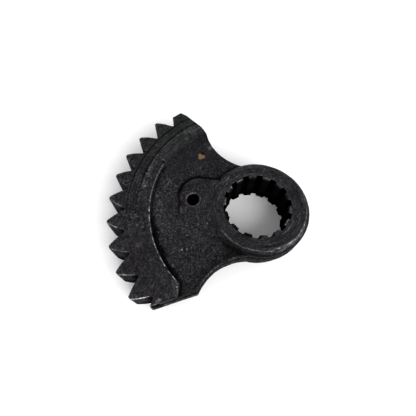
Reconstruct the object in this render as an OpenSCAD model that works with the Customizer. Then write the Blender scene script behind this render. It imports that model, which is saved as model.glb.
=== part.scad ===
// Sector gear with a splined hub: one forged and turned piece.
// Millimetres. The bore axis is Z, the bottom face is z = 0 and the middle tooth points along -X.

/* [Teeth] */
// Module of the teeth
tooth_module = 2.5; // [2.4:0.02:2.6]
// Teeth that a full wheel of this pitch would have
wheel_teeth = 36; // [35:1:37]
// Pressure angle of the flanks, in degrees
pressure_angle = 30; // [28:0.5:31]
// Height of a tooth above the pitch circle, in modules
addendum = 1.12; // [1:0.02:1.14]
// Depth of a gap below the pitch circle, in modules
dedendum = 1; // [0.9:0.02:1.1]
// Height of the rounded root, in modules
root_round = 0.18; // [0.14:0.01:0.24]
// Distance by which each flank stands out from a tooth of even pitch
flank_extra = 0.22; // [0:0.02:0.3]
// Radial width of the sloping face at the tips
tip_slope_w = 2.4; // [1.6:0.1:3]
// Drop of the upper sloping face at the tips
tip_slope_drop = 0.25; // [0.15:0.05:0.6]
// Rise of the lower sloping face at the tips
tip_slope_rise = 1.2; // [0.4:0.1:1.6]
// Height cut off the two end teeth
end_tooth_cut = 2.1; // [1.7:0.1:2.4]

/* [Rim] */
// Thickness of the toothed rim
rim_h = 12.5; // [11.5:0.1:13.5]
// Inner radius of the raised rim face
rim_inner_r = 34.6; // [33.6:0.1:35.4]
// Extra inner radius of the rim face near its upper end
rim_wide_by = 1.9; // [1.87:0.01:2.4]
// Angle from the middle tooth to the place where the rim face widens
rim_wide_from = 26; // [20:1:32]
// Radius of the inner turned line
inner_line_r = 38.9; // [38:0.1:39.6]
// Distance from the root circle to the outer turned line
outer_line_in = 0.6; // [0.4:0.05:1]
// Width of a turned line
line_w = 0.4; // [0.3:0.05:0.6]
// Depth of a turned line
line_depth = 0.15; // [0.1:0.05:0.3]

/* [Web] */
// Depth of the web below each rim face
web_drop = 1.5; // [1:0.1:2]
// Slope of the step between rim and web, in degrees from upright
step_slope = 20; // [18:1:35]
// Slope of the softer step near the rim's upper end, in degrees from upright
soft_slope = 58; // [50:1:58]
// Draft of the forged walls above the parting line, in degrees
draft = 4; // [2:0.5:7]
// Draft of the forged walls below the parting line, in degrees
lower_draft = 9; // [6:0.5:12]
// Broken edge along the waists
waist_edge = 0.4; // [0.3:0.1:0.8]

/* [Waists and ends] */
// Radius of the upper waist at the parting line
upper_waist_r = 17.2; // [16.9:0.1:17.6]
// Distance of the upper waist centre from the bore axis, towards the teeth
upper_waist_x = 0.9; // [0.6:0.1:1.4]
// Distance of the upper waist centre to the side of the bore axis
upper_waist_y = 32.9; // [32.5:0.1:33.2]
// Radius of the lower waist at the parting line
lower_waist_r = 18; // [17.9:0.05:18.3]
// Distance of the lower waist centre from the bore axis, towards the teeth
lower_waist_x = 0.5; // [0.2:0.1:1]
// Distance of the lower waist centre to the side of the bore axis
lower_waist_y = 34.3; // [34:0.1:34.4]
// Direction that the upper end faces, in degrees from X
upper_end_turn = 51; // [49:0.5:53]
// Distance of the upper end from the bore axis
upper_end_reach = 11.55; // [11:0.05:12]
// Direction that the lower end faces, in degrees from X
lower_end_turn = -68.5; // [-71:0.5:-66]
// Distance of the lower end from the bore axis
lower_end_reach = 19.65; // [19:0.05:20.2]
// Distance from the bore axis to the flat on the rim's inner lower corner
corner_flat_x = 22.9; // [22:0.1:24]
// Radius of the rim's inner lower corner
corner_r = 2; // [1:0.1:2.6]

/* [Hub] */
// Radius of the hub at the parting line
hub_r = 16.6; // [16.5:0.05:16.9]
// Distance of the hub's own axis from the bore axis, away from the teeth
hub_off = 0.55; // [0:0.05:0.7]
// Rise of the hub above the rim face
hub_rise = 0.7; // [0.3:0.1:1.2]
// Radius of the hub's upper face
hub_face_r = 15; // [14.6:0.05:15.4]
// Radius of the hub under its sloping upper edge
hub_edge_r = 16.5; // [16.2:0.05:16.6]
// Height of the hub's sloping upper edge
hub_edge_h = 1.7; // [1.2:0.1:2.2]
// Radius of the hub's lower face
hub_foot_r = 14.85; // [14.4:0.05:15.2]
// Radius of the hub over its broken lower edge
hub_low_r = 15.65; // [15.4:0.05:15.9]
// Height of the hub's broken lower edge
hub_low_h = 0.9; // [0.5:0.1:1.4]

/* [Spline] */
// Number of grooves
spline_count = 14; // [12:1:15]
// Radius of the spline lands
spline_land_r = 10; // [9.7:0.05:10.3]
// Depth of a groove
groove_depth = 1; // [0.8:0.05:1.3]
// Width of a groove at the lands
groove_w = 2.3; // [1.9:0.05:2.6]
// Slope of a groove's sides, in degrees
groove_side = 12; // [8:1:20]
// Angle from the middle tooth to the next groove
groove_turn = 8.6; // [0:0.2:12]
// Broken edge at each end of the lands
land_edge = 0.45; // [0.2:0.05:0.6]

/* [Spring hole] */
// Radius of the spring hole
hole_r = 1.95; // [1.6:0.05:2.1]
// Distance of the spring hole from the bore axis, towards the teeth
hole_x = 20.9; // [20.6:0.1:21.1]
// Distance of the spring hole to the side of the bore axis
hole_y = 1.2; // [1:0.1:1.6]
// Broken edge of the spring hole
hole_edge = 0.3; // [0.15:0.05:0.4]
// Radius of the raised pad at its foot
pad_r = 6.7; // [6.6:0.05:7.1]
// Distance of the pad centre from the bore axis, towards the teeth
pad_x = 19; // [18.8:0.1:19.4]
// Distance of the pad centre to the side of the bore axis
pad_y = 3.3; // [3:0.1:3.4]
// Distance by which the pad's tongue is narrower than the pad, on each side
tongue_inset = 0.25; // [0.1:0.05:0.6]
// Radius of the pad's lower part at its foot
skirt_r = 9.6; // [9.4:0.05:9.8]
// Distance of the lower part's centre from the bore axis, towards the teeth
skirt_x = 15.5; // [15.2:0.1:15.8]
// Distance of the lower part's centre below the bore axis
skirt_y = 1.5; // [1.3:0.1:1.7]
// Height of the pad above the web, beside the hub
pad_h = 2; // [1.7:0.1:2.1]
// Slope of the pad's sides, in degrees from upright
pad_slope = 35; // [25:1:40]
// Height of the pad above the web at the spring hole
hole_pad_h = 1.2; // [1:0.05:1.4]
// Slope of the pad's face, which falls towards the web
fall_slope = 11; // [9:0.5:13]
// Direction in which the pad's face falls, in degrees from X
fall_turn = 233; // [225:1:240]

/* [Hidden] */
$fa = 4;
$fs = 0.4;

// Spare length by which a cutter passes the surface that it cuts.
spare = 1;
// Teeth on the sector, counting the cut one at each end.
sector_teeth = 11;
// Overlap that makes the rounded corner cross the flat beside it.
corner_ease = 0.05;
// Share of a pitch by which the plate passes its end teeth, before the ends are cut.
end_pass = 0.7;
// Direction of the far side of the wedge that widens the recess, past the upper end.
wedge_turn = 110;
// Depth to which the pad reaches into the web.
pad_sink = 2;
// Points along one flank, and along one rounded root.
flank_steps = 6;
root_steps = 6;

pitch_r = tooth_module * wheel_teeth / 2;
tip_r = pitch_r + addendum * tooth_module;
root_r = pitch_r - dedendum * tooth_module;
flank_r = root_r + root_round * tooth_module;
stub_r = tip_r - end_tooth_cut;
base_r = pitch_r * cos(pressure_angle);
pitch_turn = 360 / wheel_teeth;
extra_turn = flank_extra / pitch_r * 180 / PI;
parting_z = rim_h / 2;
web_top = rim_h - web_drop;
hub_h = rim_h + hub_rise;
groove_r = spline_land_r + groove_depth;
upper_waist = [-upper_waist_x, upper_waist_y];
lower_waist = [-lower_waist_x, -lower_waist_y];

function polar(r, a) = [r * cos(a), r * sin(a)];

// Involute function of an angle, in degrees.
function involute(a) = tan(a) * 180 / PI - a;

// Half of the angle that a tooth takes up at radius r.
function half_tooth(r) =
    pitch_turn / 4 + extra_turn + involute(pressure_angle) - involute(acos(base_r / r));

// Middle of tooth k, with the middle tooth at 180 degrees.
function tooth_turn(k) = 180 + (k - (sector_teeth - 1) / 2) * pitch_turn;

// The end teeth are cut short.
function tooth_top(k) = k == 0 || k == sector_teeth - 1 ? stub_r : tip_r;

function flank_point(k, step, side) =
    let (r = flank_r + (tooth_top(k) - flank_r) * step / flank_steps)
    polar(r, tooth_turn(k) + side * half_tooth(r));

function tooth_points(k) = concat(
    [for (i = [0 : flank_steps]) flank_point(k, i, -1)],
    [for (i = [flank_steps : -1 : 0]) flank_point(k, i, 1)]);

// Arc of the rounded root after tooth k, through the two flanks and the root circle.
function root_points(k) =
    let (half = pitch_turn / 2 - half_tooth(flank_r))
    let (mid_turn = tooth_turn(k) + pitch_turn / 2)
    let (chord = flank_r * sin(half))
    let (depth = flank_r * cos(half) - root_r)
    let (arc_r = (chord * chord + depth * depth) / (2 * depth))
    let (arc_mid = root_r + arc_r)
    let (reach = 2 * atan(depth / chord))
    [for (i = [1 : root_steps - 1])
        let (a = -reach + 2 * reach * i / root_steps)
        let (along = arc_mid - arc_r * cos(a))
        let (across = arc_r * sin(a))
        polar(norm([along, across]), mid_turn + atan2(across, along))];

function outline_points() = concat(
    [[0, 0], upper_waist, polar(root_r, tooth_turn(0) - pitch_turn * end_pass)],
    [for (k = [0 : sector_teeth - 1])
        each concat(tooth_points(k), k < sector_teeth - 1 ? root_points(k) : [])],
    [polar(root_r, tooth_turn(sector_teeth - 1) + pitch_turn * end_pass), lower_waist]);

// Two cones that meet at the parting line and lean out by a slope of their own, upwards and downwards.
module parting_cones(r, lean, lower_lean) {
    reach = parting_z + spare;
    translate([0, 0, parting_z])
        cylinder(h = reach, r1 = r, r2 = r + reach * lean);
    translate([0, 0, parting_z - reach])
        cylinder(h = reach, r1 = r + reach * lower_lean, r2 = r);
}

// Cone over the sector, whose side slopes down by this drop across the upper face of the tips.
module tip_cone(drop) {
    lean = tip_slope_w / drop;
    start_r = tip_r - tip_slope_w;
    translate([0, 0, -spare])
        cylinder(h = rim_h + 2 * spare, r1 = start_r + (rim_h + spare) * lean, r2 = start_r - spare * lean);
}

// Sector plate with its teeth, the faces sloping at the tips.
module toothed_plate() {
    intersection() {
        linear_extrude(height = rim_h)
            polygon(outline_points());
        tip_cone(tip_slope_drop);
        translate([0, 0, rim_h])
            mirror([0, 0, 1])
                tip_cone(tip_slope_rise);
    }
}

// Sloping cutter that breaks the upper edge of a waist of radius r whose wall has this draft.
module waist_edge_cutter(r, wall_draft) {
    wall_r = r + (web_top - waist_edge - parting_z) * tan(wall_draft);
    slope_h = waist_edge + web_drop / 4;
    translate([0, 0, web_top - waist_edge - parting_z]) {
        cylinder(h = slope_h, r1 = wall_r, r2 = wall_r + slope_h);
        translate([0, 0, slope_h])
            cylinder(h = web_drop + spare, r = wall_r + slope_h);
    }
}

// Drafted cutter for one waist, which also breaks the waist's two edges.
module waist_cutter(r) {
    parting_cones(r, tan(draft), tan(lower_draft));
    translate([0, 0, parting_z]) {
        waist_edge_cutter(r, draft);
        rotate([180, 0, 0])
            waist_edge_cutter(r, lower_draft);
    }
}

// Cutter with a drafted face that looks along +X and stands reach away from the axis.
module end_cutter(reach) {
    size = 3 * tip_r;
    height = parting_z + spare;
    rotate([90, 0, 0])
        translate([0, parting_z, -size / 2])
            linear_extrude(height = size)
                polygon([
                    [reach - height * tan(lower_draft), -height],
                    [size, -height],
                    [size, height],
                    [reach - height * tan(draft), height],
                    [reach, 0]]);
}

// Hollow in the upper face, down to the web, with a side of this slope.
module recess(r, slope) {
    lean = tan(slope);
    translate([0, 0, web_top])
        cylinder(h = web_drop + spare, r1 = r - web_drop * lean, r2 = r + spare * lean);
}

// Wedge from the bore axis, from an angle off the middle tooth to the upper end.
module upper_wedge(from) {
    wide = 2 * tip_r;
    linear_extrude(height = rim_h + 2 * spare)
        polygon([[0, 0], polar(wide, 180 - from), polar(wide, wedge_turn)]);
}

// Rounds the rim's inner lower corner, between its flat and the lower end.
module corner_cutter() {
    toward_end = polar(1, lower_end_turn);
    end_reach = lower_end_reach - (rim_h - parting_z) * tan(draft) - corner_r;
    x = corner_ease - corner_flat_x - corner_r;
    y = (end_reach - x * toward_end.x) / toward_end.y;
    wide = corner_r + spare;
    translate([x, y, web_top])
        difference() {
            linear_extrude(height = web_drop + spare)
                polygon([[0, 0], [wide, 0], [wide, 0] + wide * toward_end, wide * toward_end]);
            translate([0, 0, -spare])
                cylinder(h = web_drop + 3 * spare, r = corner_r);
        }
}

module upper_recess() {
    floor_r = rim_inner_r - web_drop * tan(step_slope);
    flat_y = sqrt(pow(floor_r, 2) - pow(corner_flat_x, 2)) - spare;
    recess(rim_inner_r, step_slope);
    intersection() {
        recess(rim_inner_r + rim_wide_by, soft_slope);
        upper_wedge(rim_wide_from);
    }
    translate([-corner_flat_x, -tip_r, web_top])
        cube([corner_flat_x, tip_r - flat_y, web_drop + spare]);
    corner_cutter();
}

module lower_recess() {
    translate([0, 0, rim_h])
        mirror([0, 0, 1])
            recess(rim_inner_r, step_slope);
}

// Shallow ring cut in the upper rim face.
module turned_line(r) {
    translate([0, 0, rim_h - line_depth])
        difference() {
            cylinder(h = line_depth + spare, r = r + line_w / 2);
            translate([0, 0, -spare])
                cylinder(h = line_depth + 3 * spare, r = r - line_w / 2);
        }
}

// Forged outline: the plate between its waists and ends.
module outlined_plate() {
    difference() {
        toothed_plate();
        translate(upper_waist)
            waist_cutter(upper_waist_r);
        translate(lower_waist)
            waist_cutter(lower_waist_r);
        rotate([0, 0, upper_end_turn])
            end_cutter(upper_end_reach);
        rotate([0, 0, lower_end_turn])
            end_cutter(lower_end_reach);
    }
}

module blank() {
    difference() {
        difference() {
            outlined_plate();
            upper_recess();
            lower_recess();
        }
        turned_line(inner_line_r);
        turned_line(root_r - outer_line_in);
    }
}

// Hub with drafted sides and broken edges, a little off the bore axis as it was forged.
module hub() {
    translate([hub_off, 0, 0])
        rotate_extrude()
            polygon([
                [0, 0],
                [hub_foot_r, 0],
                [hub_low_r, hub_low_h],
                [hub_r, parting_z],
                [hub_edge_r, hub_h - hub_edge_h],
                [hub_face_r, hub_h],
                [0, hub_h]]);
}

// Puts its children at the mouth of the spring hole, square to the pad's falling face.
module on_pad_face() {
    translate([-hole_x, hole_y, web_top + hole_pad_h])
        rotate([0, fall_slope, fall_turn])
            children();
}

// Round part of the pad, from below the web to the pad's full height.
module pad_disc(r) {
    lean = tan(pad_slope);
    translate([0, 0, web_top - pad_sink])
        cylinder(h = pad_h + pad_sink, r1 = r + pad_sink * lean, r2 = r - pad_h * lean);
}

// Straight part of the pad, a little narrower than its disc, which joins it to the hub.
module pad_tongue() {
    lean = tan(pad_slope);
    half = pad_r - tongue_inset;
    translate([0, 0, web_top])
        rotate([90, 0, 90])
            linear_extrude(height = pad_x - groove_r)
                polygon([
                    [-half - pad_sink * lean, -pad_sink],
                    [half + pad_sink * lean, -pad_sink],
                    [half - pad_h * lean, pad_h],
                    [-half + pad_h * lean, pad_h]]);
}

// Raised pad beside the hub, whose face falls past the spring hole to the web.
module pad() {
    wide = 2 * skirt_r;
    difference() {
        union() {
            translate([-pad_x, pad_y, 0]) {
                pad_disc(pad_r);
                pad_tongue();
            }
            translate([-skirt_x, -skirt_y, 0])
                pad_disc(skirt_r);
        }
        on_pad_face()
            translate([-wide, -wide, 0])
                cube([2 * wide, 2 * wide, wide]);
    }
}

// One groove of the spline, from inside the bore to past the groove bottoms.
module groove() {
    reach = 2 * spare;
    inner = spline_land_r - reach;
    outer = groove_r + reach;
    half = groove_w / 2;
    lean = tan(groove_side);
    translate([0, 0, -spare])
        linear_extrude(height = hub_h + 2 * spare)
            polygon([
                [inner, -half - reach * lean],
                [outer, -half + (outer - spline_land_r) * lean],
                [outer, half - (outer - spline_land_r) * lean],
                [inner, half + reach * lean]]);
}

module splined_bore() {
    translate([0, 0, -spare])
        cylinder(h = hub_h + 2 * spare, r = spline_land_r);
    intersection() {
        translate([0, 0, -spare])
            cylinder(h = hub_h + 2 * spare, r = groove_r);
        union() {
            for (i = [0 : spline_count - 1])
                rotate([0, 0, 180 + groove_turn + i * 360 / spline_count])
                    groove();
        }
    }
    translate([0, 0, hub_h - land_edge])
        cylinder(h = land_edge + spare, r1 = spline_land_r, r2 = spline_land_r + land_edge + spare);
    translate([0, 0, -spare])
        cylinder(h = land_edge + spare, r1 = spline_land_r + land_edge + spare, r2 = spline_land_r);
}

module spring_hole() {
    translate([-hole_x, hole_y, -spare])
        cylinder(h = hub_h + 2 * spare, r = hole_r);
    on_pad_face()
        translate([0, 0, -hole_edge])
            cylinder(h = hole_edge + spare, r1 = hole_r, r2 = hole_r + hole_edge + spare);
    translate([-hole_x, hole_y, web_drop - spare])
        cylinder(h = hole_edge + spare, r1 = hole_r + hole_edge + spare, r2 = hole_r);
}

module sector_gear() {
    color("dimgray")
        difference() {
            union() {
                blank();
                pad();
                hub();
            }
            splined_bore();
            spring_hole();
        }
}

sector_gear();
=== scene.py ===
"""Looks of a forged sector gear: worn black steel on a white table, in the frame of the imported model."""
from functools import cached_property
import math

import bmesh
import bpy
import numpy as np
from mathutils import Matrix, Vector
from mathutils import noise as field
from mathutils.geometry import delaunay_2d_cdt


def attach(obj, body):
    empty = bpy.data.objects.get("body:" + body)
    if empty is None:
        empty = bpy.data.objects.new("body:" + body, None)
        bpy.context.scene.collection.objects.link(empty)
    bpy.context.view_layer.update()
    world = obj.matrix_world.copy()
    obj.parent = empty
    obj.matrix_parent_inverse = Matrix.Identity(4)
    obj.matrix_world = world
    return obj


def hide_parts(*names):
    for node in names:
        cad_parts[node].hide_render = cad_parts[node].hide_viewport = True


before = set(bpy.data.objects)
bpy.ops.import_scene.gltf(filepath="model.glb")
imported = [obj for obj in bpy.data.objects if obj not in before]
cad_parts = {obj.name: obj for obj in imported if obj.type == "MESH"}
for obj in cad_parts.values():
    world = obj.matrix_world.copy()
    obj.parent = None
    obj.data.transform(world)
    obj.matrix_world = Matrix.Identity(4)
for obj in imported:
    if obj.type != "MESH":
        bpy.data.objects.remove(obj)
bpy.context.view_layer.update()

MM = 0.001
DEGREES = 180 / math.pi
EVER = math.inf

# Sizes of the CAD model that the looks follow, in millimetres
WEB_TOP = 11.0
RIM_TOP = 12.5
HUB_TOP = 13.2
STEP_R = 34.6
ROOT_R = 42.5
INNER_LINE_R = 38.9
OUTER_LINE_R = 41.9
TIP_SLOPE_R = 45.4
BORE_CENTRE = (0, 0)
HUB_CENTRE = (0.55, 0.0)
HUB_FACE_R = 15.0
GROOVE_R = 11.0
LAND_R = 10.0
HOLE_CENTRE = (-20.9, 1.2)
HOLE_R = 1.95
PAD_CENTRE = (-19.0, 3.3)
LOWER_END_WAY = (0.3665, -0.9304)
UPPER_WAIST = (-0.9, 32.9)
UPPER_WAIST_EDGE_R = 17.6
LOWER_WAIST = (-0.5, -34.3)
LOWER_WAIST_EDGE_R = 18.5
CORNER_X = -22.9

# Photograph's camera, fitted to the teeth, the turned lines and the bore, in millimetres
EYE = (-16.34, -41.63, 101.07)
AHEAD = (0.0046, 0.4110, -0.9116)
RIGHT = (0.9982, 0.0522, 0.0286)
FOCAL_PIXELS = 304.446
PICTURE_PIXELS = 416
SENSOR = 36.0
NEAR_CLIP = 0.001

# Light: where the key shines to, its strength and spread in degrees, and the surround's two strengths
KEY_DIRECTION = (-0.50, 0.60, -0.62)
KEY_STRENGTH = 3.23
KEY_SPREAD = 50
HORIZON = 1.485
ZENITH = 0.462
WHITE = (1, 1, 1, 1)

# Table: half its side in metres, and its finish
FLOOR_HALF = 4.0
FLOOR_COLOUR = (0.92, 0.92, 0.92, 1)
FLOOR_ROUGHNESS = 0.9
FLOOR_SPECULAR = 0.1

# Rounding of sharp edges, in millimetres
STEP_ROUNDING = 0.28
TOOTH_ROUNDING = 0.14
OTHER_ROUNDING = 0.22
ROUNDING_SHARE = 0.3  # of the narrower face beside an edge, at most
ROUNDING_ROOM = 2.5  # in roundings: a plain edge longer than this is split where one stops
ROUNDING_CLEARANCE = 0.6  # in roundings: from a point where one ends to the face's sides
LEAST_SPREAD = 0.4  # two sides that meet more sharply get no point between their roundings
CORNER_SHARE = 0.7  # of the summed shifts, where more than two sharp edges meet
TEETH_R = ROOT_R - 0.2
LINE_HALF_WIDTH = 0.25
LINE_DEPTH = 0.3  # the turned lines lie less than this below the rim's face
STEP_NEAR = 0.3  # an edge is the step's if its radius is this near
STEP_DEPTH = 0.1  # and if it lies less than this below the rim's face

# Mesh of the piece, in millimetres and radians
ROUNDED_ANGLE = math.radians(24)  # edges that turn by more are rounded
SHARP_ANGLE = math.radians(50)  # edges that turn by more are shaded sharp
FLAT_ANGLE = math.radians(0.6)  # faces that turn by less are joined
TRIANGLE_EDGE = 0.55
GRID_ROOM = 1.2  # in triangle edges: narrower faces get no points inside
EDGE_CLEARANCE = 0.4  # in triangle edges: from points inside a face to its sides
SLIVER = 0.03  # points nearer than this are merged
FILL_INSIDE = 1  # the triangulation keeps what is inside the outline
FILL_NEAR = 1e-6
TINY = 1e-12  # least divisor
FOLD_COSINE = -0.7  # between the normals of two triangles that fold over
UNFOLD_ROUNDS = 20

# Wear by shape, with painted light: painted highlights on edges that face the key, dirt and painted shade in
# corners
FULL_BEND = 0.9  # per millimetre, for a share of 1
# edges that face -Y, towards the key, get a painted highlight on top of their wear
LIT_EDGE_GAIN = 1.5
GRIME_SHADE_SPREAD = 2  # rounds of means over neighbours
GRIME_SHADE_GAIN = 2
FAINT_FOOT_SHARE = 0.25  # of the bend, counted at the hub's lower left foot, where the dirt and painted shade are fainter

# Zones of the mesh: the two limits of each measure of place, in millimetres or degrees
TURNED_LINES = {"line_gap": (-EVER, 0.9), "r": (-EVER, ROOT_R), "z": (RIM_TOP - 0.3, EVER)}
SOFT_STEP = {"turn": (24, EVER), "r": (31, 37.5), "z": (WEB_TOP - 0.1, RIM_TOP + 0.1)}
PAD_SIDE = {"pad_turn": (-30, 30), "hub_r": (14, 18.5), "z": (WEB_TOP - 0.1, EVER)}
# the hub's lower left foot, where the dirt and painted shade of corners are weaker
FAINT_FOOT = {"pad_turn": (-85, -30), "hub_r": (15.8, 18), "z": (WEB_TOP - 0.1, EVER)}
CUT_HUB = {"hub_r": (-EVER, HUB_FACE_R + 0.5), "z": (HUB_TOP - 0.6, EVER)}
CUT_RIM = {"turn": (-12, EVER), "r": (STEP_R - 0.5, EVER), "z": (RIM_TOP - 0.6, EVER)}
CUT_HOLE = {"hole_r": (-EVER, HOLE_R + 0.5)}
CUT_BORE = {"r": (-EVER, GROOVE_R + 0.2)}
CUT_TEETH = {"r": (ROOT_R, EVER)}
BORE_WALL = {"r": (-EVER, GROOVE_R + 0.15)}
HOLE_WALL = {"hole_r": (-EVER, HOLE_R + 0.1)}
LOW_WALL = {"z": (-EVER, WEB_TOP - 0.2)}
TOOTH_WALL = {"r": (TEETH_R, EVER)}
UPRIGHT_COSINE = 0.5

# Relief of the forged skin, in millimetres, none at the foot
WAVE_SIZE = 4.5
WAVE_HEIGHT = 0.07
LUMP_SIZE = 1.2
LUMP_HEIGHT = 0.05
CUT_RELIEF = 0.15
FLAT_FOOT = 0.3

# Tones of the steel: natural logarithm of the share of light that it sends back
TOP_TONE = math.log(0.0142)
WALL_TONE = math.log(0.019)

# Colours of the bore, as shares of red, green and blue: near black, painted shade inside the bore
GROOVE_COLOUR = (0.0003, 0.0003, 0.0003, 1.0)
LAND_COLOUR = (0.0022, 0.0032, 0.0028, 1.0)

# Tints of the steel and colours of its spots, as shares of red, green and blue
PLAIN_TINT = (1.0, 0.99, 1.09, 1.0)
PURPLE_TINT = (1.09, 0.97, 1.13, 1.0)
BROWN_TINT = (1.30, 0.95, 0.97, 1.0)
GREEN_TINT = (0.97, 1.03, 1.01, 1.0)
TAN_TINT = (1.06, 1.02, 1.0, 1.0)
OCHRE = (0.135, 0.083, 0.043, 1.0)
RED = (0.050, 0.032, 0.030, 1.0)

# Places of the small spots and of the stain beside the pad, in millimetres
OCHRE_SPOTS = ((-19.75, 18.9), (-19.7, 18.2), (-18.7, 18.6))
RED_SPOT = (-27.5, -4.6)
STAIN = (-16.3, 11.3)

# Straight scratches: angle in radians, seed and change of tone
SCRATCHES = ((0.35, 41.0, 0.6), (-0.9, 42.0, -0.6), (1.9, 43.0, 0.45))

# Scales along x, y and z of the noise for scratches, and for drips on the walls
SCRATCH_STRETCH = (3.2, 0.22, 0.5)
DRIP_STRETCH = (1, 1, 0.35)

# Heights between which the rim's face begins, in millimetres
RIM_FACE = (11.7, 12.2)

# Bump of the steel: its strength, and its depths in millimetres
BUMP_STRENGTH = 0.8
FORGED_BUMP = 0.05
BORE_BUMP = 0.04

# Pale or dark marks on the upper face: place, radius and change of tone
MARKS = (
    (-36.8, 5.6, 1.5, 0.75),
    (-35.9, 11.8, 1.1, 0.55),
    (-38.6, 5.6, 0.8, 0.45),
    (-32.1, 15.6, 0.5, 2.2),
    (-32.0, 14.5, 0.7, -1.4),
    (-16.4, 22.6, 1.3, 1.2),
    (-18.1, 24.0, 1.0, 0.9),
    (-18.9, 20.2, 0.7, -0.9),
    (-28.1, -31.0, 1.1, 1.7),
    (-26.0, -29.3, 1.1, 0.8),
    (-36.0, -15.2, 1.3, 1.1),
    (-35.6, -9.4, 0.7, 1.5),
    (-37.6, -8.6, 0.9, 0.7),
    (-30.8, -27.1, 1.4, 0.5),
    (-23.1, -15.4, 0.5, 1.8),
    (-21.6, -15.1, 0.5, 1.4),
    (-25.3, -20.5, 0.5, 1.8),
    # the next five dark marks widen the band of dirt and painted shade beside the step
    (-31.6, -9.6, 1.3, -1.0),
    (-31.9, -11.3, 0.9, -1.0),
    (-28.9, -15.9, 1.3, -1.0),
    (-28.1, -17.8, 1.1, -1.0),
    (-26.3, -21.5, 0.9, -0.8),
    (-19.5, 4.5, 0.45, 1.2),
    (-18.2, -0.9, 1.8, 0.35),
    (-25.7, -0.2, 1.2, 0.4),
)
MARK_RAGGED = 0.35  # of the radius
MARK_REACH = 1.1  # in radii
MARK_STRENGTH = 1.3  # times the change of tone


def make_camera():
    """Camera at the photograph's place, angle and framing."""
    ahead = Vector(AHEAD).normalized()
    right = (Vector(RIGHT) - Vector(RIGHT).dot(ahead) * ahead).normalized()
    up = right.cross(ahead)
    data = bpy.data.cameras.new("camera")
    data.sensor_width = SENSOR
    data.lens = FOCAL_PIXELS / PICTURE_PIXELS * SENSOR
    data.clip_start = NEAR_CLIP
    camera = bpy.data.objects.new("camera", data)
    turn = Matrix((right, up, -ahead)).transposed().to_4x4()
    camera.matrix_world = Matrix.Translation(Vector(EYE) * MM) @ turn
    bpy.context.scene.collection.objects.link(camera)
    bpy.context.scene.camera = camera


def make_key():
    """A broad soft light from below right in the picture."""
    key = bpy.data.lights.new("soft_key", "SUN")
    key.energy = KEY_STRENGTH
    key.angle = math.radians(KEY_SPREAD)
    lamp = bpy.data.objects.new("soft_key", key)
    lamp.rotation_euler = Vector(KEY_DIRECTION).to_track_quat("-Z", "Y").to_euler()
    bpy.context.scene.collection.objects.link(lamp)


def make_surround():
    """A white surround, brighter at the horizon than overhead."""
    world = bpy.data.worlds.new("pale_surround")
    world.use_nodes = True
    tree = world.node_tree
    background = tree.nodes["Background"]
    background.inputs["Color"].default_value = WHITE
    way = tree.nodes.new("ShaderNodeTexCoord").outputs["Generated"]
    split = tree.nodes.new("ShaderNodeSeparateXYZ")
    strength = tree.nodes.new("ShaderNodeMapRange")
    strength.inputs["To Min"].default_value = HORIZON
    strength.inputs["To Max"].default_value = ZENITH
    tree.links.new(way, split.inputs[0])
    tree.links.new(split.outputs["Z"], strength.inputs["Value"])
    tree.links.new(strength.outputs["Result"], background.inputs["Strength"])
    bpy.context.scene.world = world
    bpy.context.scene.view_settings.view_transform = "Standard"


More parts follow.
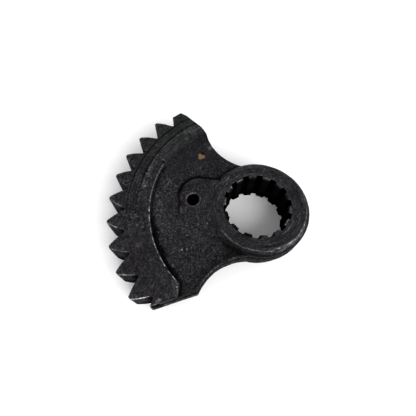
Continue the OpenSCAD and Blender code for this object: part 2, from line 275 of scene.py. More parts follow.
class Paint:
    """One material under construction: masks from 0 to 1 and noise, by place in millimetres.

    Its measures of place are x, y and z, r and turn about the bore (turn from the middle tooth), hub_r and
    hub_turn about the hub (hub_turn from +X), and pad_r from the pad's centre.
    """

    def __init__(self, name, specular, ior):
        self.material = bpy.data.materials.new(name)
        self.material.use_nodes = True
        self.tree = self.material.node_tree
        self.shader = self.tree.nodes["Principled BSDF"]
        self.shader.inputs["Specular IOR Level"].default_value = specular
        self.shader.inputs["IOR"].default_value = ior
        metres = self.node("ShaderNodeTexCoord").outputs["Object"]
        scale = self.node("ShaderNodeVectorMath", {0: metres, "Scale": 1 / MM}, operation="SCALE")
        self.place = scale.outputs["Vector"]
        self.x, self.y, self.z = self.node("ShaderNodeSeparateXYZ", {0: self.place}).outputs

    @cached_property
    def r(self):
        return self.distance(BORE_CENTRE)

    @cached_property
    def turn(self):
        back = self.calc("MULTIPLY", self.x, -1)
        return self.calc("MULTIPLY", self.calc("ARCTAN2", self.y, back), DEGREES)

    @cached_property
    def hub_r(self):
        return self.distance(HUB_CENTRE)

    @cached_property
    def hub_turn(self):
        side = self.calc("SUBTRACT", self.x, HUB_CENTRE[0])
        return self.calc("MULTIPLY", self.calc("ARCTAN2", self.y, side), DEGREES)

    @cached_property
    def pad_r(self):
        return self.distance(PAD_CENTRE)

    def node(self, kind, inputs=None, **settings):
        """A node whose inputs are linked from sockets, or set to plain values."""
        node = self.tree.nodes.new(kind)
        for name, value in settings.items():
            setattr(node, name, value)
        for name, value in (inputs or {}).items():
            self.feed(node.inputs[name] if isinstance(name, int) else self.socket(node, name), value)
        return node

    def feed(self, socket, value):
        """Links a socket from another, or sets it to a plain value."""
        if isinstance(value, bpy.types.NodeSocket):
            self.tree.links.new(value, socket)
        else:
            socket.default_value = value

    def socket(self, node, name):
        return next(s for s in node.inputs if s.name == name and s.enabled)

    def calc(self, operation, first, second=0.0, third=0.0):
        inputs = {0: first, 1: second, 2: third}
        return self.node("ShaderNodeMath", inputs, operation=operation).outputs[0]

    def times(self, first, *others):
        for other in others:
            first = self.calc("MULTIPLY", first, other)
        return first

    def total(self, start, terms):
        """Start plus each mask times its amount."""
        for mask, amount in terms:
            start = self.calc("MULTIPLY_ADD", mask, amount, start)
        return start

    def fade(self, value, start, end):
        """0 before start and 1 after end, smooth between them; end may be the smaller."""
        inputs = {"Value": value, "From Min": start, "From Max": end}
        node = self.node("ShaderNodeMapRange", inputs, interpolation_type="SMOOTHSTEP")
        return node.outputs["Result"]

    def between(self, value, low, high, soft):
        """1 from low to high, with ends that are this soft to each side."""
        rise = self.fade(value, low - soft, low + soft)
        return self.times(rise, self.fade(value, high + soft, high - soft))

    def zone(self, **limits):
        """Mask by measures of place, each with a fade's start and end, or with low, high and softness."""
        masks = []
        for name, limit in limits.items():
            mask = self.fade if len(limit) == 2 else self.between
            masks.append(mask(getattr(self, name), *limit))
        return self.times(*masks)

    def ring(self, value, middle, half):
        """A line about this middle, 1 on it and 0 at twice the half width."""
        away = self.calc("ABSOLUTE", self.calc("SUBTRACT", value, middle))
        return self.fade(away, 2 * half, 0.3 * half)

    def flat_place(self, centre):
        """Place in plan, from a centre."""
        x = self.calc("SUBTRACT", self.x, centre[0])
        y = self.calc("SUBTRACT", self.y, centre[1])
        return self.node("ShaderNodeCombineXYZ", {"X": x, "Y": y}).outputs[0]

    def distance(self, centre):
        inputs = {0: self.flat_place(centre)}
        return self.node("ShaderNodeVectorMath", inputs, operation="LENGTH").outputs["Value"]

    def stretched(self, place, factors):
        inputs = {0: place, 1: factors}
        return self.node("ShaderNodeVectorMath", inputs, operation="MULTIPLY").outputs[0]

    def noise(self, size, detail, seed, place=None):
        """Noise about 0, most of it from -1 to 1, whose lumps are about size across."""
        inputs = {"Vector": place or self.place, "W": seed, "Scale": 1 / size, "Detail": detail}
        node = self.node("ShaderNodeTexNoise", inputs, noise_dimensions="4D")
        return self.calc("MULTIPLY_ADD", node.outputs["Fac"], 4.0, -2.0)

    def patches(self, size, detail, seed, start, end):
        """Ragged patches: noise that fades in between two of its levels."""
        return self.fade(self.noise(size, detail, seed), start, end)

    def streaks(self, centre, width, turns, seed):
        """Noise drawn out along circles about a centre."""
        way = self.node("ShaderNodeVectorMath", {0: self.flat_place(centre)}, operation="NORMALIZE")
        way = self.node("ShaderNodeVectorMath", {0: way.outputs[0], "Scale": turns}, operation="SCALE")
        across = self.calc("DIVIDE", self.distance(centre), width)
        rise = self.node("ShaderNodeCombineXYZ", {"Z": across}).outputs[0]
        place = self.node("ShaderNodeVectorMath", {0: way.outputs[0], 1: rise}, operation="ADD")
        return self.noise(1.0, 2.0, seed, place.outputs[0])

    def attribute(self, name):
        return self.node("ShaderNodeAttribute", attribute_name=name).outputs["Fac"]

    def blend(self, share, under, over):
        """Colour that goes from one to the other by a share from 0 to 1."""
        node = self.node("ShaderNodeMix", data_type="RGBA")
        for name, value in (("Factor", share), ("A", under), ("B", over)):
            self.feed(self.socket(node, name), value)
        return next(s for s in node.outputs if s.enabled)

    def shade(self, tone, tint):
        """Colour of a tint at a tone given as a natural logarithm."""
        level = self.calc("EXPONENT", tone)
        inputs = {0: tint[:3] if isinstance(tint, tuple) else tint, "Scale": level}
        return self.node("ShaderNodeVectorMath", inputs, operation="SCALE").outputs["Vector"]

    def finish(self, colour, roughness, height, depth):
        """Links colour, roughness and a bump of this depth in millimetres."""
        self.tree.links.new(colour, self.shader.inputs["Base Color"])
        self.tree.links.new(roughness, self.shader.inputs["Roughness"])
        inputs = {"Height": height, "Strength": BUMP_STRENGTH, "Distance": depth * MM}
        bump = self.node("ShaderNodeBump", inputs)
        self.tree.links.new(bump.outputs["Normal"], self.shader.inputs["Normal"])
        return self.material


# Each function of terms returns pairs: a mask or noise, and the change of tone where it is 1
def grain_terms(paint, amount):
    """Speckle of the forged skin, stronger by an amount."""
    grain = paint.noise(0.42, 2.0, seed=1.0)
    lumps = paint.noise(1.0, 2.0, seed=27.0)
    specks = paint.patches(0.9, 1.0, seed=2.0, start=0.7, end=1.1)
    pits = paint.patches(1.1, 1.0, seed=3.0, start=-0.5, end=-1.0)
    patches = paint.noise(2.4, 1.0, seed=19.0)
    clouds = paint.noise(6.0, 2.0, seed=4.0)
    speckle = paint.total(0.0, [(grain, 1.6), (lumps, 0.55), (specks, 1.2), (pits, -1.0)])
    return [(paint.times(speckle, amount), 1.0), (patches, 0.24), (clouds, 0.16)]


def scratch_terms(paint):
    """Fine straight scratches, pale one way and dark another."""
    terms = []
    for angle, seed, change in SCRATCHES:
        inputs = {"Vector": paint.place, "Axis": (0, 0, 1), "Angle": angle}
        turned = paint.node("ShaderNodeVectorRotate", inputs, rotation_type="AXIS_ANGLE").outputs[0]
        drawn = paint.noise(1.0, 1.0, seed, paint.stretched(turned, SCRATCH_STRETCH))
        terms.append((paint.fade(drawn, 0.85, 1.15), change))
    return terms


def rim_line_terms(paint, rim):
    """The two turned lines, darkened as painted shade in their fine grooves, the line where the tips begin
    to slope, and a pale line beside the inner one.
    """
    lines = paint.times(rim, paint.fade(paint.turn, -6, 24))
    outer = paint.times(lines, paint.ring(paint.r, OUTER_LINE_R, 0.24))
    inner = paint.times(lines, paint.ring(paint.r, INNER_LINE_R, 0.22))
    pale = paint.times(lines, paint.ring(paint.r, INNER_LINE_R - 0.65, 0.28))
    tip = paint.times(paint.ring(paint.r, TIP_SLOPE_R, 0.16), paint.fade(paint.z, *RIM_FACE))
    tip = paint.times(tip, paint.total(0.25, [(paint.fade(paint.turn, -4, 6), 0.75)]))
    return [(outer, -1.3), (inner, -1.3), (tip, -1.1), (pale, 0.4)]


def rim_terms(paint):
    """Turned lines, faint turning marks, pale bands and lighter tips of the rim."""
    rim = paint.zone(r=(34.3, 34.9), z=RIM_FACE)
    turned = paint.times(rim, paint.fade(paint.turn, -12, 14))
    turned = paint.times(turned, paint.streaks(BORE_CENTRE, 0.45, 5.0, seed=5.0))
    rubbed = paint.times(rim, paint.zone(r=(36.6, 38.5, 0.3), turn=(4, 40, 5)))
    rubbed = paint.times(rubbed, paint.fade(paint.streaks(BORE_CENTRE, 0.9, 9.0, seed=30.0), -0.3, 0.7))
    tips = paint.zone(r=(TIP_SLOPE_R, TIP_SLOPE_R + 0.4), z=(11.7, 12.1))
    upper = paint.times(rim, paint.zone(r=(36.7, 38.2, 0.3), turn=(46, 62, 3)))
    crisp = paint.times(paint.ring(paint.r, 36.4, 0.16), paint.between(paint.turn, 50, 58, 2))
    bands = [(turned, 0.35), (upper, 0.4), (crisp, 1.0), (rubbed, 0.7), (tips, 0.25)]
    return rim_line_terms(paint, rim) + bands


def step_grime_and_shade(paint):
    """Ragged band of dirt and painted shade on the web, beside the lower part of the step."""
    wide = paint.noise(1.7, 1.0, seed=7.0)
    fine = paint.noise(0.6, 1.0, seed=36.0)
    wobble = paint.total(paint.r, [(wide, 1.1), (fine, 0.35)])
    band = paint.between(wobble, 33.15, 35.6, 0.12)
    return paint.times(band, paint.zone(turn=(-46, -9, 3), z=(11.8, 11.3)))


def step_terms(paint):
    """Worn line along the rim's step, partly a painted highlight; painted shade at its foot, the band of
    dirt and painted shade beside it, and less of that band along the upper part.
    """
    along = paint.between(paint.turn, -46, 23, 1.5)
    breaks = paint.patches(1.6, 2.0, seed=6.0, start=-0.8, end=0.4)
    strength = paint.total(0.6, [(paint.fade(paint.turn, 8, -6), 0.4)])
    worn_and_lit_line = paint.times(paint.ring(paint.r, STEP_R + 0.05, 0.10), paint.fade(paint.z, 11.8, 12.2))
    worn_and_lit_line = paint.times(worn_and_lit_line, along, breaks, strength)
    foot = paint.times(paint.zone(r=(33.85, 34.35, 0.12), z=(12.3, 12.0)), along)
    foot = paint.times(foot, paint.patches(1.3, 2.0, seed=37.0, start=-0.9, end=0.5))
    # lifts the dirt and painted shade of the corners along the upper part of the step
    lifted_dirt_and_shade = paint.times(paint.zone(r=(32.8, 34.6, 0.2), turn=(-8, 24, 4)), paint.attribute("grime_and_shade"))
    return [(worn_and_lit_line, 2.6), (foot, -1.2), (step_grime_and_shade(paint), -1.5), (lifted_dirt_and_shade, 0.7)]


def corner_terms(paint):
    """Dirt and painted shade beside the rim's inner lower corner, and the two rubbed lines that curve along
    it.
    """
    beside = paint.zone(x=(CORNER_X + 0.1, CORNER_X + 0.9, 0.15), y=(-24, -26), z=(12.0, 11.5))
    off = paint.calc("ADD", paint.y, 28.0)
    curve = paint.total(paint.x, [(paint.times(off, off), 0.1), (paint.noise(1.5, 2.0, seed=28.0), 0.25)])
    weaker = paint.times(paint.ring(curve, -24.2, 0.12), 0.7)
    rubbed = paint.calc("MAXIMUM", paint.ring(curve, -23.15, 0.12), weaker)
    rubbed = paint.total(rubbed, [(paint.between(curve, -24.4, -23.0, 0.3), 0.25)])
    rubbed = paint.times(rubbed, paint.zone(y=(-30.6, -24.6, 0.8), z=(11.9, 12.3)))
    rubbed = paint.times(rubbed, paint.patches(1.0, 2.0, seed=38.0, start=-1.2, end=0.4))
    return [(beside, -1.4), (rubbed, 1.1)]


def hub_face_terms(paint):
    """Turning scratches on the hub's face, sharpest at its upper left, and a bright arc by the bore."""
    face = paint.zone(hub_r=(19.5, 15.5), z=(12.2, 12.9))
    scratches = paint.streaks(HUB_CENTRE, 0.34, 1.8, seed=8.0)
    sharp = paint.fade(paint.streaks(HUB_CENTRE, 0.32, 2.4, seed=9.0), 0.25, 0.75)
    upper_left = paint.zone(x=(2, -6), y=(-2, 5))
    arc = paint.zone(hub_turn=(-52, -20, 4), z=(12.8, 13.0))
    arc = paint.times(arc, paint.ring(paint.r, LAND_R + 2.0, 0.18))
    arc = paint.times(arc, paint.patches(1.5, 1.0, seed=39.0, start=-1.4, end=-0.2))
    return [(paint.times(face, scratches), 0.7), (paint.times(face, sharp), 0.35),
            (paint.times(face, sharp, upper_left), 1.7), (arc, 1.3)]


def hub_edge_terms(paint):
    """The hub's bright worn edge, a painted highlight on its lower right, and the darker slope, sides and
    foot below it; painted shade on the right side and at the foot on the upper left.
    """
    rough = paint.fade(paint.streaks(HUB_CENTRE, 0.35, 6.0, seed=10.0), -0.6, 0.6)
    edge = paint.times(paint.zone(hub_r=(14.6, 16.2, 0.25), hub_turn=(-85, -22, 12)), rough)
    thin = paint.times(paint.ring(paint.hub_r, 15.1, 0.16), rough)
    thin = paint.times(thin, paint.between(paint.hub_turn, -140, 60, 12))
    skirt = paint.zone(hub_r=(15.6, 16.2), hub_turn=(-125, 25, 10), z=(12.9, 12.5))
    slope = paint.zone(hub_r=(15.3, 16.6, 0.2), hub_turn=(-135, -72, 10), z=(11.2, 11.6))
    right_side_shade = paint.zone(hub_r=(15.3, 15.6), hub_turn=(-20, 62, 10))
    foot = paint.zone(hub_turn=(106, 148, 5), z=(12.7, 12.2))
    foot = paint.times(foot, paint.ring(paint.hub_r, 16.7, 0.35))
    return [(edge, 1.6), (thin, 1.0), (skirt, -1.3), (slope, -0.6), (right_side_shade, -1.0), (foot, -1.2)]


def land_terms(paint):
    """Painted highlights along the lit lands, their dark broken edges, and painted shade on the lands at the
    lower left.
    """
    lit = paint.calc("MAXIMUM", paint.fade(paint.y, -4, -1), paint.fade(paint.x, 1.5, 4))
    lower_right = paint.zone(x=(5, 8), y=(2, -1))
    bright = paint.total(0.5, [(paint.fade(paint.x, 4, -8), 0.5), (lower_right, 0.9)])
    patchy = paint.patches(1.5, 1.0, seed=18.0, start=-1.0, end=0.4)
    lines = paint.times(paint.ring(paint.r, LAND_R + 0.45, 0.08), paint.fade(paint.z, 12.6, 12.8))
    lines = paint.times(lines, paint.total(0.2, [(lit, 0.8)]), bright, patchy)
    broken = paint.zone(r=(LAND_R + 0.42, LAND_R + 0.34), y=(-1, 2), z=(12.4, 12.6))
    ragged = paint.total(paint.r, [(paint.noise(1.2, 2.0, seed=35.0), 0.15)])
    shaded = paint.fade(ragged, LAND_R + 1.3, LAND_R + 1.0)
    shaded = paint.times(shaded, paint.zone(x=(2.0, 0.0), y=(-1.5, -3.5), z=(12.5, 12.7)))
    return [(lines, 1.7), (broken, -1.0), (shaded, -2.3)]


def edge_terms(paint):
    """Wear on edges, with painted highlights on those that face the key; dirt and painted shade in corners;
    and the light ring around the spring hole.
    """
    patchy = paint.patches(2.0, 2.0, seed=11.0, start=-0.6, end=0.6)
    ragged = paint.patches(1.3, 2.0, seed=20.0, start=-1.2, end=0.3)
    edge = paint.times(paint.attribute("edge"), patchy)
    lit_worn_edge = paint.times(paint.attribute("lit_worn_edge"), patchy)
    grime_and_shade = paint.times(paint.attribute("grime_and_shade"), ragged)
    hole = paint.ring(paint.distance(HOLE_CENTRE), HOLE_R + 0.35, 0.2)
    return [(edge, 0.45), (lit_worn_edge, 0.8), (paint.attribute("crease"), -0.8), (grime_and_shade, -0.9), (hole, 0.8)]


def waist_terms(paint):
    """Bright worn edge along the lower waist, partly a painted highlight, and painted shade along the upper
    one's edge.
    """
    patchy = paint.patches(1.6, 2.0, seed=24.0, start=-1.2, end=0.4)
    edge = paint.ring(paint.distance(LOWER_WAIST), LOWER_WAIST_EDGE_R, 0.1)
    edge = paint.times(edge, patchy, paint.zone(x=(-19, -4, 2), z=(10.2, 10.6)))
    dark = paint.ring(paint.distance(UPPER_WAIST), UPPER_WAIST_EDGE_R, 0.22)
    dark = paint.times(dark, paint.fade(paint.z, 10, 10.5))
    return [(edge, 1.1), (dark, -1.1)]


def tooth_terms(paint):
    """Worn edges of the teeth, with a painted highlight on the lower sides of the lower ones, which face the
    key.
    """
    patchy = paint.patches(2.4, 1.0, seed=29.0, start=-1.1, end=0.3)
    lit_worn_edge = paint.times(paint.attribute("lit_worn_edge"), paint.fade(paint.r, 42.3, 43.2))
    lower = paint.times(lit_worn_edge, patchy, paint.fade(paint.turn, 8, -10))
    last = paint.times(lit_worn_edge, paint.fade(paint.turn, -30, -38))
    edge = paint.times(paint.attribute("edge"), paint.fade(paint.r, 42.6, 43.4), patchy)
    return [(lower, 0.9), (last, 1.2), (edge, 0.5)]


def stain(paint):
    """The brown stain between the pad and the upper waist."""
    return paint.fade(paint.distance(STAIN), 4.5, 1.0)


def pad_terms(paint):
    """Dirt and painted shade in the groove along the pad's upper left side and along its top, and the pad's
    slightly darker face.
    """
    low = paint.fade(paint.z, 12.4, 12.0)
    wobble = paint.total(paint.pad_r, [(paint.noise(2.0, 1.0, seed=25.0), 0.25)])
    around = paint.zone(x=(-18.5, -19.5), y=(2.0, 5.5))
    around = paint.times(around, paint.between(wobble, 5.6, 7.3, 0.25), low)
    level = paint.total(paint.y, [(paint.noise(2.0, 1.0, seed=26.0), 0.25)])
    beside = paint.times(paint.between(level, 9.0, 10.3, 0.2), paint.between(paint.x, -19, -10, 0.6), low)
    face = paint.zone(pad_r=(6.2, 5.2), z=(11.3, 11.8))
    return [(around, -1.8), (beside, -1.8), (stain(paint), -0.3), (face, -0.15)]


def mark_terms(paint):
    """Pale and dark patches and specks, with ragged outlines."""
    ragged = paint.noise(0.9, 1.0, seed=12.0)
    terms = []
    for x, y, radius, change in MARKS:
        away = paint.total(paint.distance((x, y)), [(ragged, MARK_RAGGED * radius)])
        terms.append((paint.fade(away, MARK_REACH * radius, 0), MARK_STRENGTH * change))
    return terms


def lower_rim(paint):
    return paint.zone(r=(34.6, 37), turn=(-8, -22))


def top_tint(paint):
    """Purple on the lower rim and about the pad, green on the upper rim, brown in the band of dirt and
    painted shade by the step and in the stain.
    """
    patchy = paint.patches(3.0, 2.0, seed=13.0, start=-1.0, end=0.8)
    purple = paint.times(lower_rim(paint), patchy)
    green = paint.times(paint.zone(r=(35, 37), turn=(20, 34)), 0.7)
    grime_and_shade = paint.times(step_grime_and_shade(paint), 0.7)
    around = paint.zone(pad_r=(5.4, 7.8, 0.3), x=(-17, -19))
    tan = paint.zone(x=(-25.0, -22.6, 0.4), y=(-31, -25, 0.6))
    tint = paint.blend(purple, PLAIN_TINT, PURPLE_TINT)
    tint = paint.blend(green, tint, GREEN_TINT)
    tint = paint.blend(grime_and_shade, tint, BROWN_TINT)
    tint = paint.blend(around, tint, PURPLE_TINT)
    tint = paint.blend(tan, tint, TAN_TINT)
    return paint.blend(paint.times(stain(paint), patchy), tint, BROWN_TINT)


def web_terms(paint, shadow, web):
    """The web's darker upper part, and its paler and more speckled middle beside the rim."""
    light = paint.times(paint.zone(r=(29, 33.6, 1.0), turn=(-16, 20, 6)), web)
    specks = paint.patches(0.9, 1.0, seed=14.0, start=0.2, end=0.8)
    return [(shadow, -0.3), (light, 0.2), (paint.times(light, specks), 0.45)]


def grain_amount(paint, shadow):
    """How strong the grain is: uneven, and weaker on the hub, in the shadow and at both ends of the rim."""
    uneven = paint.noise(4.0, 1.0, seed=34.0)
    hub = paint.zone(hub_r=(19.5, 16), z=(11.8, 12.6))
    high_rim = paint.zone(r=(34.6, 37), turn=(12, 26))
    changes = [(uneven, 0.25), (hub, -0.3), (shadow, -0.25), (lower_rim(paint), -0.2), (high_rim, -0.2)]
    return paint.total(0.9, changes)


def with_spots(paint, colour):
    """A colour with the small ochre and red spots laid over it."""
    ragged = paint.noise(0.8, 1.0, seed=15.0)
    for spot in OCHRE_SPOTS:
        away = paint.total(paint.distance(spot), [(ragged, 0.25)])
        colour = paint.blend(paint.fade(away, 0.85, 0.5), colour, OCHRE)
    red = paint.times(paint.fade(paint.distance(RED_SPOT), 0.7, 0.2), 0.7)
    return paint.blend(red, colour, RED)


def top_steel():
    """Black forged steel: speckled web, turned rim and hub, worn edges with painted highlights, dirt and
    painted shade in the corners.
    """
    paint = Paint("black_forged_steel", specular=0.03, ior=1.45)
    web = paint.fade(paint.z, 11.7, 11.3)
    shadow = paint.times(paint.fade(paint.y, 9, 20), web)
    terms = grain_terms(paint, grain_amount(paint, shadow)) + web_terms(paint, shadow, web)
    for zone_terms in (scratch_terms, rim_terms, step_terms, corner_terms, hub_face_terms, hub_edge_terms,
                       land_terms, edge_terms, waist_terms, tooth_terms, pad_terms, mark_terms):
        terms += zone_terms(paint)
    colour = with_spots(paint, paint.shade(paint.total(TOP_TONE, terms), top_tint(paint)))
    roughness = paint.total(0.55, [(paint.noise(1.2, 2.0, seed=17.0), 0.08)])
    return paint.finish(colour, roughness, paint.noise(0.6, 2.0, seed=16.0), FORGED_BUMP)


def wall_steel():
    """Forged side walls: the same scale, darker towards the table."""
    paint = Paint("black_forged_walls", specular=0.1, ior=1.03)
    drips = paint.noise(1.3, 2.0, 21.0, paint.stretched(paint.place, DRIP_STRETCH))
    low = paint.fade(paint.z, 5.5, 1.5)
    roots = paint.zone(r=(41.5, 44.2, 0.5), turn=(5, -10))
    under = paint.zone(z=(8.5, 10.2, 0.5), r=(41, 38), y=(-14, -17))
    reach = paint.total(paint.times(paint.x, LOWER_END_WAY[0]), [(paint.y, LOWER_END_WAY[1])])
    end_wall = paint.times(paint.fade(reach, 17.5, 18.5), paint.fade(paint.y, -20, -24))
    end_shade = paint.times(end_wall, paint.fade(paint.z, 8.5, 10.0))
    terms = grain_terms(paint, 0.6) + edge_terms(paint) + tooth_terms(paint)
    terms += [(drips, 0.9), (low, -2.0), (roots, -0.8), (under, -0.9), (end_wall, 0.4), (end_shade, -1.6)]
    colour = paint.shade(paint.total(WALL_TONE, terms), PLAIN_TINT)
    roughness = paint.total(0.75, [(drips, 0.08)])
    return paint.finish(colour, roughness, paint.noise(0.7, 2.0, seed=22.0), FORGED_BUMP)


def bore_steel():
    """Near black of the spline and the spring hole, painted shade inside the bore, the lands a little
    lighter than the grooves.
    """
    paint = Paint("black_spline", specular=0.1, ior=1.03)
    land = paint.zone(r=(LAND_R + 0.25, LAND_R + 0.05), z=(1, 7))
    land = paint.times(land, paint.patches(2.0, 2.0, seed=31.0, start=-1.6, end=0.6))
    colour = paint.blend(land, GROOVE_COLOUR, LAND_COLOUR)
    roughness = paint.total(0.8, [(paint.noise(1.2, 2.0, seed=32.0), 0.06)])
    return paint.finish(colour, roughness, paint.noise(0.8, 2.0, seed=33.0), BORE_BUMP)


def floor_material():
    """Plain matt white."""
    material = bpy.data.materials.new("white_table")
    material.use_nodes = True
    shader = material.node_tree.nodes["Principled BSDF"]
    shader.inputs["Base Color"].default_value = FLOOR_COLOUR
    shader.inputs["Roughness"].default_value = FLOOR_ROUGHNESS
    shader.inputs["Specular IOR Level"].default_value = FLOOR_SPECULAR
    return material


def make_floor():
    """The table that the gear lies on."""
    half = FLOOR_HALF
    corners = [(-half, -half, 0), (half, -half, 0), (half, half, 0), (-half, half, 0)]
    mesh = bpy.data.meshes.new("floor")
    mesh.from_pydata(corners, [], [(0, 1, 2, 3)])
    floor = bpy.data.objects.new("floor", mesh)
    floor.data.materials.append(floor_material())
    bpy.context.scene.collection.objects.link(floor)


class Places:
    """Points in millimetres, by measures of place: about the bore, the hub, the spring hole and the lines.

    turn is from the middle tooth, and pad_turn is about the hub, from the side where the pad is.
    """

    def __init__(self, points):
        self.x, self.y, self.z = points.T
        self.r = np.hypot(self.x, self.y)
        self.turn = np.degrees(np.arctan2(self.y, -self.x))
        self.hub_r = np.hypot(self.x - HUB_CENTRE[0], self.y - HUB_CENTRE[1])
        self.pad_turn = np.degrees(np.arctan2(self.y, HUB_CENTRE[0] - self.x))
        self.hole_r = np.hypot(self.x - HOLE_CENTRE[0], self.y - HOLE_CENTRE[1])
        self.line_gap = np.minimum(np.abs(self.r - INNER_LINE_R), np.abs(self.r - OUTER_LINE_R))

    def within(self, *zones):
        """Which points lie inside at least one of the zones."""
        found = np.zeros(len(self.r), bool)
        for zone in zones:
            inside = np.ones(len(self.r), bool)
            for name, (low, high) in zone.items():
                inside &= (getattr(self, name) > low) & (getattr(self, name) < high)
            found |= inside
        return found


def face_width(face):
    """Rough width of a face: small for a narrow strip."""
    return 2 * face.calc_area() / face.calc_perimeter()


def rounding_width(edge):
    """Width in millimetres by which an edge is rounded; none for the fine turned lines."""
    middle = (edge.verts[0].co + edge.verts[1].co) / 2 / MM
    r = math.hypot(middle.x, middle.y)
    line_gap = min(abs(r - INNER_LINE_R), abs(r - OUTER_LINE_R))
    if middle.z > RIM_TOP - LINE_DEPTH and line_gap < LINE_HALF_WIDTH:
        return 0.0
    if r > TEETH_R:
        most = TOOTH_ROUNDING
    elif middle.z > RIM_TOP - STEP_DEPTH and abs(r - STEP_R) < STEP_NEAR:
        most = STEP_ROUNDING
    else:
        most = OTHER_ROUNDING
    narrow = min(face_width(face) for face in edge.link_faces) / MM
    return min(most, ROUNDING_SHARE * narrow)


def joined_faces(source):
    """The source's mesh with its flat faces joined, and a layer with each sharp edge's rounding width."""
    bm = bmesh.new()
    bm.from_mesh(source.data)
    bmesh.ops.remove_doubles(bm, verts=bm.verts, dist=SLIVER * MM)
    bmesh.ops.dissolve_degenerate(bm, dist=SLIVER * MM, edges=bm.edges)
    bmesh.ops.dissolve_limit(bm, angle_limit=FLAT_ANGLE, verts=bm.verts, edges=bm.edges)
    widths = bm.edges.layers.float.new("rounding")
    for edge in bm.edges:
        if edge.is_manifold and edge.calc_face_angle() > ROUNDED_ANGLE:
            edge[widths] = rounding_width(edge)
    return bm, widths


def split_at_roundings(bm, widths):
    """A point on each plain edge where the rounding at its end stops."""
    for vert in list(bm.verts):
        width = max(edge[widths] for edge in vert.link_edges)
        for edge in list(vert.link_edges):
            length = edge.calc_length() / MM
            if width > 0 and edge[widths] == 0 and length > ROUNDING_ROOM * width:
                bmesh.utils.edge_split(edge, vert, width / length)


def split_evenly(bm):
    """Points on every edge at even distances, about a triangle's edge apart."""
    by_cuts = {}
    for edge in bm.edges:
        cuts = math.ceil(edge.calc_length() / (TRIANGLE_EDGE * MM)) - 1
        by_cuts.setdefault(cuts, []).append(edge)
    by_cuts.pop(0, None)
    for cuts, edges in by_cuts.items():
        bmesh.ops.bisect_edges(bm, edges=edges, cuts=cuts)


def clear_of_sides(outline, points, clearance):
    """Which points lie inside a flat outline and this far from its sides."""
    inside = np.zeros(len(points), bool)
    nearest = np.full(len(points), np.inf)
    for start, end in zip(outline, np.roll(outline, -1, 0)):
        side = end - start
        along = np.clip((points - start) @ side / max(side @ side, TINY), 0, 1)
        nearest = np.minimum(nearest, ((start + along[:, None] * side - points) ** 2).sum(1))
        if start[1] != end[1]:
            crosses = (start[1] > points[:, 1]) != (end[1] > points[:, 1])
            where = start[0] + (points[:, 1] - start[1]) * side[0] / side[1]
            inside ^= crosses & (points[:, 0] < where)
    return inside & (nearest > clearance ** 2)


def rounding_ends(outline, widths):
    """Points inside an outline where the roundings of its sharp sides end; widths are by side."""
    ahead = np.roll(outline, -1, 0) - outline
    ahead = ahead / np.maximum(np.linalg.norm(ahead, axis=1, keepdims=True), TINY)
    inward = np.stack([-ahead[:, 1], ahead[:, 0]], 1)
    before = np.roll(inward, 1, 0)
    width = np.minimum(widths, np.roll(widths, 1))
    spread = 1 + (inward * before).sum(1)
    good = (width > 0) & (spread > LEAST_SPREAD)
    reach = width[good] / spread[good]
    points = outline[good] + reach[:, None] * (inward + before)[good]
    return points[clear_of_sides(outline, points, ROUNDING_CLEARANCE * width[good])]


def grid_points(outline, taken):
    """Points of a triangle grid inside an outline, clear of its sides and of points that are taken."""
    low = outline.min(0)
    high = outline.max(0)
    if min(high - low) < GRID_ROOM * TRIANGLE_EDGE:
        return np.zeros((0, 2))
    row = TRIANGLE_EDGE * math.sqrt(3) / 2
    ys = np.arange(low[1] + row / 2, high[1], row)
    xs = np.arange(low[0] + TRIANGLE_EDGE / 4, high[0], TRIANGLE_EDGE)
    grid_x, grid_y = np.meshgrid(xs, ys)
    grid_x = grid_x + (np.arange(len(ys)) % 2 * TRIANGLE_EDGE / 2)[:, None]
    points = np.stack([grid_x.ravel(), grid_y.ravel()], 1)
    clearance = EDGE_CLEARANCE * TRIANGLE_EDGE
    points = points[clear_of_sides(outline, points, clearance)]
    for place in taken:
        points = points[((points - place) ** 2).sum(1) > clearance ** 2]
    return points


def edge_shifts(bm, widths):
    """How far each point on a sharp edge moves to round it, in millimetres."""
    shifts = np.zeros((len(bm.verts), 3))
    count = np.zeros(len(bm.verts))
    for edge in bm.edges:
        if edge[widths] > 0:
            way = sum((face.normal for face in edge.link_faces), Vector()).normalized()
            depth = edge[widths] * math.tan(edge.calc_face_angle_signed() / 4)
            for vert in edge.verts:
                shifts[vert.index] -= depth * np.array(way)
                count[vert.index] += 1
    share = np.where(count > 2, CORNER_SHARE, 1 / np.maximum(count, 1))
    return shifts * share[:, None]


def flat_outline(face):
    """A face's corners in its own plane, with that plane's middle and two directions, in millimetres."""
    across = face.normal.orthogonal().normalized()
    basis = np.array([across, face.normal.cross(across)])
    corners = np.array([tuple(vert.co / MM) for vert in face.verts])
    middle = corners.mean(0)
    return (corners - middle) @ basis.T, middle, basis


def fill_face(face, widths, points):
    """A face's triangles, by the numbers of their points; points inside the face are added to the list."""
    outline, middle, basis = flat_outline(face)
    ends = rounding_ends(outline, np.array([loop.edge[widths] for loop in face.loops]))
    flat = [Vector(p) for p in np.vstack([outline, ends, grid_points(outline, ends)])]
    around = list(range(len(outline)))
    filled = delaunay_2d_cdt(flat, [], [around], FILL_INSIDE, FILL_NEAR)
    new_points, _, new_faces, origins, _, _ = filled
    numbers = []
    for point, origin in zip(new_points, origins):
        if origin and origin[0] < len(outline):
            numbers.append(face.verts[origin[0]].index)
        else:
            numbers.append(len(points))
            points.append(tuple(middle + np.array(point) @ basis))
    return [[numbers[i] for i in corners] for corners in new_faces]


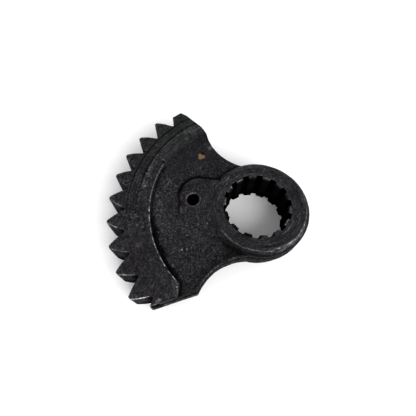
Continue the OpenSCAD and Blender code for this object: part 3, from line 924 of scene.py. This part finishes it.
def even_triangles(source):
    """Points in millimetres and triangles of even size, with the sharp edges rounded."""
    bm, widths = joined_faces(source)
    split_at_roundings(bm, widths)
    split_evenly(bm)
    bm.verts.index_update()
    bm.normal_update()
    shifts = edge_shifts(bm, widths)
    points = [tuple(vert.co / MM) for vert in bm.verts]
    triangles = []
    for face in bm.faces:
        triangles += fill_face(face, widths, points)
    bm.free()
    points = np.array(points)
    points[:len(shifts)] += shifts
    return points, np.array(triangles)


def triangle_normals(points, triangles):
    """Normals as long as twice the triangles' areas."""
    a, b, c = (points[triangles[:, i]] for i in range(3))
    return np.cross(b - a, c - a)


def point_normals(points, triangles):
    """Unit normals at the points, from the triangles around them."""
    normals = np.zeros_like(points)
    for i in range(3):
        np.add.at(normals, triangles[:, i], triangle_normals(points, triangles))
    return normals / np.linalg.norm(normals, axis=1, keepdims=True)


def triangle_sides(triangles):
    """Pairs of points for the first sides of all triangles, then for the second and the third ones."""
    return np.vstack([triangles[:, [0, 1]], triangles[:, [1, 2]], triangles[:, [2, 0]]])


class Neighbours:
    """Means over the points that share an edge with each point."""

    def __init__(self, count, triangles):
        pairs = triangle_sides(triangles)
        self.start, self.end = np.vstack([pairs, pairs[:, ::-1]]).T
        self.count = count
        self.degree = np.bincount(self.start, minlength=count)

    def mean(self, values):
        columns = values.reshape(self.count, -1).T
        sums = [np.bincount(self.start, column[self.end], self.count) for column in columns]
        return (np.array(sums) / self.degree).T.reshape(values.shape)


def unfolded(points, triangles, near):
    """Points moved towards the middle of their neighbours wherever thin triangles fold over."""
    sides = np.sort(triangle_sides(triangles), axis=1)
    order = np.lexsort(sides.T)
    pairs = (order % len(triangles)).reshape(-1, 2)
    for _ in range(UNFOLD_ROUNDS):
        normals = triangle_normals(points, triangles)
        normals /= np.maximum(np.linalg.norm(normals, axis=1, keepdims=True), TINY)
        folded = (normals[pairs[:, 0]] * normals[pairs[:, 1]]).sum(1) < FOLD_COSINE
        moved = np.unique(triangles[pairs[folded]])
        points[moved] = (points[moved] + near.mean(points)[moved]) / 2
    return points


def bends(points, normals, near):
    """How strongly the surface bends at each point, per millimetre: above 0 on edges, below 0 in corners."""
    along = points[near.start] - points[near.end]
    change = ((normals[near.start] - normals[near.end]) * along).sum(1) / (along ** 2).sum(1)
    return np.bincount(near.start, change, near.count) / near.degree


def wear_shares(points, normals, near):
    """Shares from 0 to 1 by point: edges, edges facing the picture's foot that get a painted highlight,
    corners that get painted shade, and dirt with painted shade near them.
    """
    places = Places(points)
    bend = bends(points, normals, near)
    bend[places.within(TURNED_LINES, SOFT_STEP, PAD_SIDE)] = 0
    bend[places.within(FAINT_FOOT)] *= FAINT_FOOT_SHARE
    edge = np.clip(bend / FULL_BEND, 0, 1)
    lit_worn_edge = edge * np.clip(-LIT_EDGE_GAIN * normals[:, 1], 0, 1)
    crease = np.clip(-bend / FULL_BEND, 0, 1)
    grime_and_shade = crease
    for _ in range(GRIME_SHADE_SPREAD):
        grime_and_shade = near.mean(grime_and_shade)
    grime_and_shade = np.clip(GRIME_SHADE_GAIN * grime_and_shade, 0, 1)
    return {"edge": edge, "lit_worn_edge": lit_worn_edge, "crease": crease, "grime_and_shade": grime_and_shade}


def relief(points):
    """Height of the forged skin at each point, in millimetres; small where the steel was cut."""
    places = Places(points)
    cut = places.within(CUT_HUB, CUT_RIM, CUT_HOLE, CUT_BORE, CUT_TEETH)
    waves = np.array([field.noise(Vector(p) / WAVE_SIZE) for p in points])
    lumps = np.array([field.noise(Vector(p) / LUMP_SIZE) for p in points])
    heights = WAVE_HEIGHT * waves + LUMP_HEIGHT * lumps
    return heights * np.where(cut, CUT_RELIEF, 1.0) * np.clip(places.z - FLAT_FOOT, 0, 1)


def material_numbers(points, triangles):
    """For each triangle: 0 for faces, 1 for side walls, 2 for the bore and the spring hole."""
    normals = triangle_normals(points, triangles)
    upright = np.abs(normals[:, 2]) < UPRIGHT_COSINE * np.linalg.norm(normals, axis=1)
    places = Places(points[triangles].mean(1))
    numbers = np.where(upright & places.within(LOW_WALL, TOOTH_WALL), 1, 0)
    numbers[upright & places.within(BORE_WALL, HOLE_WALL)] = 2
    return numbers


def gear_mesh(points, triangles, shares, numbers):
    """The mesh with smooth shading, its shares of wear, dirt and painted light, and its three materials."""
    mesh = bpy.data.meshes.new("gear_body")
    mesh.from_pydata(points * MM, [], triangles)
    mesh.update()
    mesh.polygons.foreach_set("use_smooth", np.ones(len(mesh.polygons), bool))
    mesh.set_sharp_from_angle(angle=SHARP_ANGLE)
    for name, values in shares.items():
        attribute = mesh.attributes.new(name, "FLOAT", "POINT")
        attribute.data.foreach_set("value", values.astype(np.float32))
    for material in (top_steel(), wall_steel(), bore_steel()):
        mesh.materials.append(material)
    mesh.polygons.foreach_set("material_index", numbers.astype(np.int32))
    return mesh


def make_gear():
    """The gear with rounded edges and a forged skin, in place of its CAD node."""
    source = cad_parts["sector_gear"]
    points, triangles = even_triangles(source)
    normals = point_normals(points, triangles)
    near = Neighbours(len(points), triangles)
    shares = wear_shares(points, normals, near)
    numbers = material_numbers(points, triangles)
    points = unfolded(points + normals * relief(points)[:, None], triangles, near)
    gear = bpy.data.objects.new("gear_body", gear_mesh(points, triangles, shares, numbers))
    bpy.context.scene.collection.objects.link(gear)
    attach(gear, "root")
    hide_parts("sector_gear")


make_camera()
make_key()
make_surround()
make_floor()
make_gear()
